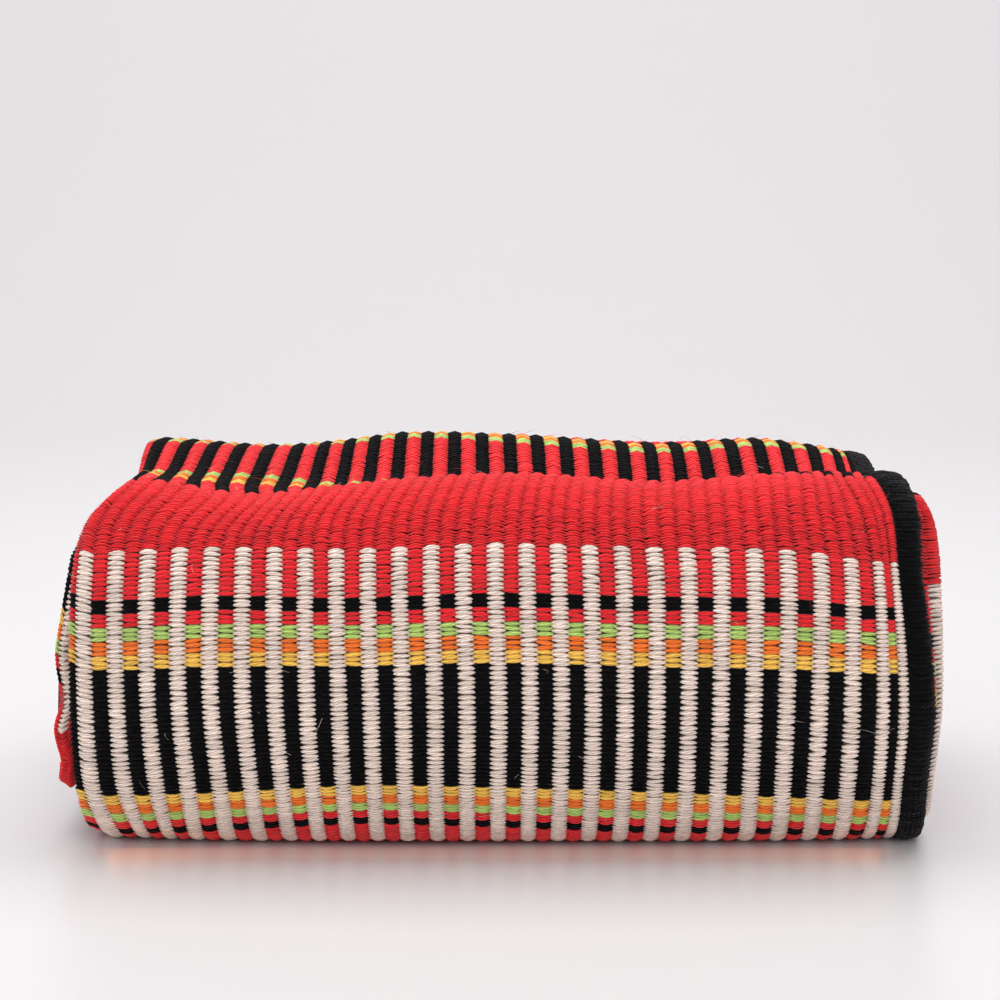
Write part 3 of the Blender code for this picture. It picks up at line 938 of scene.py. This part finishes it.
def yarn_group():
    """The surface of a bundle of spun strands: they run along it side by side, wander a little and
    wind slowly round it. It has fine fibre grain, and a tone that changes from float to float and
    slowly over the cloth. Its colour is darkened in the grooves between the strands, as painted
    shade. It reads the yarn_place map and the tone attribute."""
    name = "spun_yarn"
    if name in bpy.data.node_groups:
        return bpy.data.node_groups[name]
    group = bpy.data.node_groups.new(name, "ShaderNodeTree")
    for label, kind, default in YARN_INPUTS:
        socket = group.interface.new_socket(name=label, in_out="INPUT", socket_type=kind)
        socket.default_value = default
    for label, kind in YARN_OUTPUTS:
        group.interface.new_socket(name=label, in_out="OUTPUT", socket_type=kind)
    nodes, links = group.nodes, group.links
    given = nodes.new("NodeGroupInput")
    result = nodes.new("NodeGroupOutput")
    tone = nodes.new("ShaderNodeAttribute")
    tone.attribute_name = "tone"
    lengthwise, around = place_outputs(group)
    grain = noise_node(group, GRAIN_SCALE, GRAIN_DETAIL)
    patch = noise_node(group, PATCH_SCALE, SOFT_DETAIL)
    wander = noise_node(group, WANDER_SCALE, SOFT_DETAIL)
    turns = math_node(group, "MULTIPLY", around, given.outputs["Strands"])
    turns = math_node(group, "MULTIPLY_ADD", lengthwise, given.outputs["Twist"], turns)
    turns = math_node(group, "MULTIPLY_ADD", wander, WANDER_TURNS, turns)
    wave = math_node(group, "SINE", math_node(group, "MULTIPLY", turns, 2 * math.pi))
    ply = math_node(group, "MULTIPLY_ADD", wave, 0.5, 0.5)
    fibre = math_node(group, "MULTIPLY", grain, GRAIN_HEIGHT)
    links.new(math_node(group, "ADD", ply, fibre), result.inputs["Height"])
    drift = math_node(group, "ADD", tone.outputs["Fac"], patch)
    drift = math_node(group, "MULTIPLY_ADD", grain, GRAIN_TONE, drift)
    centred = math_node(group, "SUBTRACT", drift, TONE_MIDDLE)
    value = math_node(group, "MULTIPLY_ADD", centred, given.outputs["Tone Range"], 1.0)
    # Painted shade: the colour darkens in the grooves between the strands
    dip = math_node(group, "SUBTRACT", ply, PLY_MIDDLE)
    shade = math_node(group, "MULTIPLY_ADD", dip, given.outputs["Strand Shade"], 1.0)
    value = math_node(group, "MULTIPLY", value, shade)
    tint = nodes.new("ShaderNodeHueSaturation")
    links.new(given.outputs["Yarn Colour"], tint.inputs["Color"])
    links.new(value, tint.inputs["Value"])
    links.new(tint.outputs[0], result.inputs["Colour"])
    rough = math_node(group, "MULTIPLY_ADD", grain, GRAIN_ROUGHNESS, given.outputs["Roughness"])
    links.new(rough, result.inputs["Roughness"])
    return group


def yarn_material(name, colour, yarns, strands=YARN_STRANDS, twist=YARN_TWIST, source=None):
    """Matte spun yarn of one colour, or of the colour that a socket gives. Dark
    yarn has less gloss and sheen."""
    dark = max(colour) < DARK_BELOW
    material = bpy.data.materials.new(name)
    material.use_nodes = True
    tree = material.node_tree
    shader = tree.nodes["Principled BSDF"]
    yarn = tree.nodes.new("ShaderNodeGroup")
    yarn.node_tree = yarn_group()
    set_inputs(yarn, {
        "Yarn Colour": (*colour, 1.0),
        "Tone Range": yarns.tone_range,
        "Strands": strands,
        "Twist": twist,
        "Strand Shade": yarns.strand_shade,
        "Roughness": yarns.roughness,
    })
    if source is not None:
        tree.links.new(source(tree), yarn.inputs["Yarn Colour"])
    bump = tree.nodes.new("ShaderNodeBump")
    set_inputs(bump, {"Strength": 1.0, "Distance": BUMP_DISTANCE})
    tree.links.new(yarn.outputs["Height"], bump.inputs["Height"])
    tree.links.new(yarn.outputs["Colour"], shader.inputs["Base Color"])
    tree.links.new(yarn.outputs["Roughness"], shader.inputs["Roughness"])
    tree.links.new(bump.outputs[0], shader.inputs["Normal"])
    set_inputs(shader, {
        "Specular IOR Level": DARK_SPECULAR if dark else PALE_SPECULAR,
        "Sheen Weight": yarns.dark_sheen if dark else yarns.sheen,
        "Sheen Roughness": SHEEN_ROUGHNESS,
        "Sheen Tint": DARK_SHEEN_TINT if dark else PALE_SHEEN_TINT,
    })
    material.diffuse_color = (*colour, 1.0)
    return material


def stripe_ramp(tree, position, colours, odd):
    """The stripes of one set of ribs as a stepped ramp over one repeat."""
    ramp = tree.nodes.new("ShaderNodeValToRGB")
    ramp.color_ramp.interpolation = "CONSTANT"
    elements = ramp.color_ramp.elements
    done, last = 0.0, None
    stops = []
    for stripe in REPEAT:
        yarn = stripe.odd if odd else stripe.even
        if yarn != last:
            stops.append((done / REPEAT_PICKS, yarn))
            last = yarn
        done += stripe.picks
    elements.remove(elements[1])
    for place, yarn in stops:
        stop = elements[0] if place == 0 else elements.new(place)
        stop.color = (*colours[yarn], 1.0)
    tree.links.new(position, ramp.inputs[0])
    return ramp.outputs[0]


def stripe_source(colours, shade):
    """Returns a function that adds, to a material, the yarn colour at each place of the ground:
    one ramp for the even ribs and one for the odd, darkened by shade as painted shade for the gaps
    between the floats."""
    def build(tree):
        rib, pick = place_outputs(tree)
        rib = math_node(tree, "ADD", math_node(tree, "ROUND", rib), 2.0)
        odd = math_node(tree, "MODULO", rib, 2.0)
        repeat = math_node(tree, "FRACT", math_node(tree, "DIVIDE", pick, REPEAT_PICKS))
        mix = tree.nodes.new("ShaderNodeMix")
        mix.data_type = "RGBA"
        tree.links.new(odd, mix.inputs["Factor"])
        tree.links.new(stripe_ramp(tree, repeat, colours, False), mix.inputs[6])
        tree.links.new(stripe_ramp(tree, repeat, colours, True), mix.inputs[7])
        # Painted shade: the stripe colour is darkened all over, so that the ground in the gaps
        # between the floats looks shaded
        darker = tree.nodes.new("ShaderNodeHueSaturation")
        darker.inputs["Value"].default_value = shade
        tree.links.new(mix.outputs[2], darker.inputs["Color"])
        return darker.outputs[0]

    return build


def length_setting(name, description, default):
    return bpy.props.FloatProperty(
        name=name, description=description, default=default, unit="LENGTH", precision=5, min=0.0
    )


def share_setting(name, description, default, top=1.0):
    return bpy.props.FloatProperty(
        name=name, description=description, default=default, min=0.0, max=top
    )


def power_setting(name, description, default):
    return bpy.props.FloatProperty(
        name=name, description=description, default=default, min=0.0, unit="POWER"
    )


def colour_setting(name, description, default):
    return bpy.props.FloatVectorProperty(
        name=name, description=description, default=default,
        size=3, subtype="COLOR", min=0.0, max=1.0,
    )


class ThrowWeave(bpy.types.PropertyGroup):
    """Sizes of the weave's floats."""

    crest_height: length_setting("Crest", "Height of a float's middle on a rib's back", 0.0027)
    valley_height: length_setting("Valley", "Height of a float's ends between two ribs", 0.0015)
    float_breadth: length_setting("Breadth", "Breadth of a float along the warp", 0.00258)
    float_height: length_setting("Half height", "Half the height of a float", 0.00095)
    unevenness: share_setting("Unevenness", "How much the floats differ by chance", 1.0, 3.0)


class ThrowYarns(bpy.types.PropertyGroup):
    """Colours and finish of the yarns."""

    red: colour_setting("Red", "Colour of the red yarn", (0.89, 0.018, 0.026))
    white: colour_setting("White", "Colour of the undyed yarn", (0.96, 0.80, 0.70))
    black: colour_setting("Black", "Colour of the black yarn", (0.0020, 0.0018, 0.0021))
    green: colour_setting("Green", "Colour of the green yarn", (0.50, 0.70, 0.18))
    orange: colour_setting("Orange", "Colour of the orange yarn", (1.0, 0.21, 0.022))
    yellow: colour_setting("Yellow", "Colour of the yellow yarn", (1.0, 0.60, 0.10))
    roughness: share_setting("Roughness", "Roughness of the yarn", 0.82)
    sheen: share_setting("Sheen", "Strength of the fibres' soft sheen", 0.2)
    dark_sheen: share_setting("Dark sheen", "Strength of the sheen of black yarn", 0.05)
    binding_sheen: share_setting("Binding sheen", "Strength of the sheen of the binding", 0.11)
    tone_range: share_setting("Tone range", "How much the yarn's brightness varies", 0.2)
    # Painted shade in the grooves between the strands
    strand_shade: share_setting("Strand shade", "How dark the lines between the strands are", 0.55)
    # Painted shade: how far the ground's colour is darkened, for the gaps between the floats
    ground_painted_shade: share_setting("Ground shade", "Brightness of the ground between floats", 0.24)


class ThrowBinding(bpy.types.PropertyGroup):
    """Sizes of the wrapped edge."""

    wrap_pitch: length_setting("Wrap pitch", "Distance from wrap to wrap", 0.0022)
    half_width: length_setting("Half width", "Half the width of the binding", 0.0063)
    half_thickness: length_setting("Half thickness", "Half the thickness of the binding", 0.0030)
    ridge_height: length_setting("Ridge", "How far a wrap stands up", 0.0013)


class ThrowFuzz(bpy.types.PropertyGroup):
    """The loose fibres."""

    count: bpy.props.IntProperty(
        name="Count", description="Number of loose fibres", default=450, min=1
    )
    reach: length_setting("Reach", "Length of the longest fibres", 0.009)


class ThrowStage(bpy.types.PropertyGroup):
    """The floor, the light and the surroundings."""

    floor: colour_setting("Floor", "Colour of the floor", (0.72, 0.715, 0.725))
    air: colour_setting("Air", "Colour of the surroundings", (0.95, 0.92, 0.93))
    air_strength: share_setting("Air strength", "Strength of the surroundings' light", 0.72, 5.0)
    key_power: power_setting("Key power", "Power of the light above", 25.0)
    fill_power: power_setting("Fill power", "Power of the light in front", 14.0)
    wall_power: power_setting("Wall power", "Power of the light on the wall", 28.0)
    glow_power: power_setting("Glow power", "Power of the cloth's glow", 0.032)


def yarn_colours(yarns):
    return {name: tuple(getattr(yarns, name)) for name in YARNS}


class THROW_OT_ground(bpy.types.Operator):
    """Makes the folded ground cloth, ribbed on both sides and hemmed at its ends"""

    bl_idname = "throw.ground"
    bl_label = "Ground cloth"

    def execute(self, context):
        yarns = context.scene.throw_yarns
        points, faces, places = ground_surface()
        # The ground's stripe colours are darkened here as painted shade
        source = stripe_source(yarn_colours(yarns), yarns.ground_painted_shade)
        material = yarn_material("ground_yarn", yarns.red, yarns, source=source)
        tone = np.random.default_rng(GROUND_SEED).uniform(*GROUND_TONES, len(points))
        piece = make_piece("ground_cloth", points, faces, material, places, tone)
        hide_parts("throw_cloth")
        return {"FINISHED"}


FloatArea = namedtuple("FloatArea", "name first_rib last_rib start end rings sides reverse")


def float_areas():
    """The stretches of cloth that show, which get floats: the front, the top and
    the back of the outer wrap, the lower turn at the back, the left of the turn
    behind the front and of the run past it, and the folds at both sides of the
    whole strip."""
    front_start = TURN_SPANS[0][0] - FRONT_EARLY
    ridge, top_end = TURN_SPANS[0][1], TURN_SPANS[1][0]
    back_end = TURN_SPANS[1][1] + BACK_LATE
    low_start, low_end = TURN_SPANS[3]
    inner_start, inner_end = TURN_SPANS[6]
    last = LAST_VISIBLE_RIB - 1
    right = int(np.searchsorted(RIB_MIDDLES, MIDDLE_END - RIB_PITCH / 2))
    return (
        FloatArea("front", 0, last, front_start, ridge, 4, 5, False),
        FloatArea("top", 0, last, ridge, top_end, 3, 5, False),
        FloatArea("back", 0, last, top_end, back_end, 3, 4, False),
        FloatArea("low_back", 0, last, low_start, low_end, 3, 4, False),
        FloatArea("inner_front", last - 2, last, inner_start, inner_end, 4, 5, False),
        FloatArea("left_fold", last + 1, last + 3, 0.0, STRIP_LENGTH, 3, 4, False),
        FloatArea("low_left", last - 4, last, inner_end, STRIP_LENGTH, 3, 4, False),
        FloatArea("right_fold", right, right + 3, 0.0, STRIP_LENGTH, 3, 4, True),
    )


class THROW_OT_floats(bpy.types.Operator):
    """Makes the weft floats of one area, as one piece for each yarn"""

    bl_idname = "throw.floats"
    bl_label = "Weft floats"

    area: bpy.props.IntProperty(name="Area", description="Number of the area", default=0, min=0)

    def execute(self, context):
        area = float_areas()[self.area]
        weave = context.scene.throw_weave
        ribs = range(area.first_rib, area.last_rib + 1)
        rows = float_rows(ribs, area.start, area.end, area.reverse)
        for number, yarn in enumerate(YARNS):
            chosen = FloatRows(*(column[rows.yarn == number] for column in rows))
            if not len(chosen.rib):
                continue
            seed = AREA_SEEDS * self.area + number
            mesh = float_meshes(chosen, weave, area.rings, area.sides, area.reverse, seed)
            points, faces, places, tone = mesh
            material = bpy.data.materials[f"{yarn}_yarn"]
            name = f"{area.name}_{yarn}_floats"
            make_piece(name, points, faces, material, places, tone)
        return {"FINISHED"}


class THROW_OT_yarns(bpy.types.Operator):
    """Makes the material of each yarn"""

    bl_idname = "throw.yarns"
    bl_label = "Yarns"

    def execute(self, context):
        yarns = context.scene.throw_yarns
        for name, colour in yarn_colours(yarns).items():
            yarn_material(f"{name}_yarn", colour, yarns)
        binding = yarn_material(
            "binding_yarn", yarns.black, yarns, BINDING_STRANDS, BINDING_TWIST
        )
        shader = binding.node_tree.nodes["Principled BSDF"]
        shader.inputs["Sheen Weight"].default_value = yarns.binding_sheen
        return {"FINISHED"}


class THROW_OT_bindings(bpy.types.Operator):
    """Makes the black binding that is wrapped round each long edge"""

    bl_idname = "throw.bindings"
    bl_label = "Edge bindings"

    def execute(self, context):
        binding = context.scene.throw_binding
        material = bpy.data.materials["binding_yarn"]
        edges = (
            ("outer_edge_binding", OUTER_EDGE_X - BINDING_CENTRE, LAYER_PITCH, WARP[0], 16, 3),
            ("inner_edge_binding", INNER_EDGE_X + BINDING_CENTRE, -LAYER_PITCH, WARP[-1], 8, 2),
        )
        for seed, (node, centre, layer, warp, sides, rings) in enumerate(edges):
            mesh = binding_surface(
                centre, layer, warp, binding, sides, rings, BINDING_SEED + seed
            )
            points, faces, places, tone = mesh
            name = node.replace("_binding", "_wrapping")
            piece = make_piece(name, points, faces, material, places, tone)
            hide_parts(node)
        return {"FINISHED"}


class THROW_OT_hairs(bpy.types.Operator):
    """Makes the loose fibres, as one piece for each yarn"""

    bl_idname = "throw.hairs"
    bl_label = "Loose fibres"

    def execute(self, context):
        points, template, yarns = hair_surface(context.scene.throw_fuzz, HAIR_SEED)
        for number, yarn in enumerate(YARNS):
            chosen = points[yarns == number]
            if not len(chosen):
                continue
            count, corners = chosen.shape[:2]
            faces = repeated(template, count, corners)
            material = bpy.data.materials[f"{yarn}_yarn"]
            places = np.zeros((count * corners, 2))
            tone = np.full(count * corners, 0.5)
            chosen = chosen.reshape(-1, 3)
            name = f"loose_{yarn}_hairs"
            make_piece(name, chosen, faces, material, places, tone)
        return {"FINISHED"}


class THROW_OT_stage(bpy.types.Operator):
    """Makes the floor, the soft light and the camera"""

    bl_idname = "throw.stage"
    bl_label = "Stage"

    def execute(self, context):
        stage = context.scene.throw_stage
        add_floor(stage)
        add_air(stage)
        for lamp in LAMPS:
            add_light(lamp, getattr(stage, f"{lamp.name}_power"))
        add_camera()
        context.scene.view_settings.view_transform = "Standard"
        return {"FINISHED"}


def add_floor(stage):
    """A wide pale floor that runs back flat, curves up through a quarter circle
    and goes on as a wall, so that no horizon shows."""
    turn = np.linspace(0.0, np.pi / 2, COVE_STEPS)
    curve = COVE_START + COVE_RADIUS * np.sin(turn)
    back = np.concatenate([[-COVE_SIDE], curve, [COVE_START + COVE_RADIUS]])
    up = np.concatenate([[0.0], COVE_RADIUS * (1.0 - np.cos(turn)), [COVE_HEIGHT]])
    sides = (-COVE_SIDE, COVE_SIDE)
    points = np.stack([np.stack([np.full_like(back, x), back, up], axis=1) for x in sides])
    count = len(back)
    k = np.arange(count - 1)
    mesh = bpy.data.meshes.new("floor")
    faces = np.stack([k, k + count, k + count + 1, k + 1], axis=1)
    mesh.from_pydata(points.reshape(-1, 3), [], faces)
    mesh.shade_smooth()
    material = bpy.data.materials.new("floor_paint")
    material.use_nodes = True
    shader = material.node_tree.nodes["Principled BSDF"]
    set_inputs(shader, {
        "Base Color": (*stage.floor, 1.0), "Roughness": FLOOR_ROUGHNESS, "IOR": FLOOR_IOR
    })
    mesh.materials.append(material)
    floor = bpy.data.objects.new("floor", mesh)
    bpy.context.scene.collection.objects.link(floor)


def add_air(stage):
    """Even pale surroundings."""
    world = bpy.data.worlds.new("studio_air")
    world.use_nodes = True
    background = world.node_tree.nodes["Background"]
    set_inputs(background, {"Color": (*stage.air, 1.0), "Strength": stage.air_strength})
    bpy.context.scene.world = world


def add_light(lamp, power):
    """A soft rectangular light that points at a target."""
    name = f"{lamp.name}_light"
    light = bpy.data.lights.new(name, "AREA")
    light.shape = "RECTANGLE"
    light.size, light.size_y = lamp.size
    light.energy = power
    light.color = lamp.colour
    holder = bpy.data.objects.new(name, light)
    holder.visible_camera = False
    holder.location = lamp.place
    across, back, up = (t - p for t, p in zip(lamp.target, lamp.place))
    tilt = math.atan2(math.hypot(across, back), -up)
    holder.rotation_euler = (tilt, 0.0, math.atan2(-across, back))
    bpy.context.scene.collection.objects.link(holder)


def add_camera():
    """The camera, at the photograph's height, distance and tilt."""
    data = bpy.data.cameras.new("camera")
    data.sensor_fit = "HORIZONTAL"
    data.angle = CAMERA_VIEW
    camera = bpy.data.objects.new("camera", data)
    camera.location = (CAMERA_X, -CAMERA_DISTANCE, CAMERA_HEIGHT)
    camera.rotation_euler = (math.pi / 2 - CAMERA_PITCH, 0.0, 0.0)
    bpy.context.scene.collection.objects.link(camera)
    bpy.context.scene.camera = camera


class THROW_PT_panel(bpy.types.Panel):
    """Lists the steps that make the throw"""

    bl_label = "Folded throw"
    bl_idname = "THROW_PT_panel"
    bl_space_type = "VIEW_3D"
    bl_region_type = "UI"
    bl_category = "Throw"

    def draw(self, context):
        for step in OPERATORS:
            self.layout.operator(step.bl_idname)


GROUPS = {
    "throw_weave": ThrowWeave,
    "throw_yarns": ThrowYarns,
    "throw_binding": ThrowBinding,
    "throw_fuzz": ThrowFuzz,
    "throw_stage": ThrowStage,
}
OPERATORS = (
    THROW_OT_yarns, THROW_OT_ground, THROW_OT_floats,
    THROW_OT_bindings, THROW_OT_hairs, THROW_OT_stage,
)


def register():
    for item in (*GROUPS.values(), *OPERATORS, THROW_PT_panel):
        bpy.utils.register_class(item)
    for name, group in GROUPS.items():
        setattr(bpy.types.Scene, name, bpy.props.PointerProperty(type=group))


def unregister():
    for name in GROUPS:
        delattr(bpy.types.Scene, name)
    for item in (THROW_PT_panel, *OPERATORS, *GROUPS.values()):
        bpy.utils.unregister_class(item)


def main():
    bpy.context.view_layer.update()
    register()
    bpy.ops.throw.yarns()
    bpy.ops.throw.ground()
    for area in range(len(float_areas())):
        bpy.ops.throw.floats(area=area)
    bpy.ops.throw.bindings()
    bpy.ops.throw.hairs()
    bpy.ops.throw.stage()


if __name__ == "__main__":
    main()
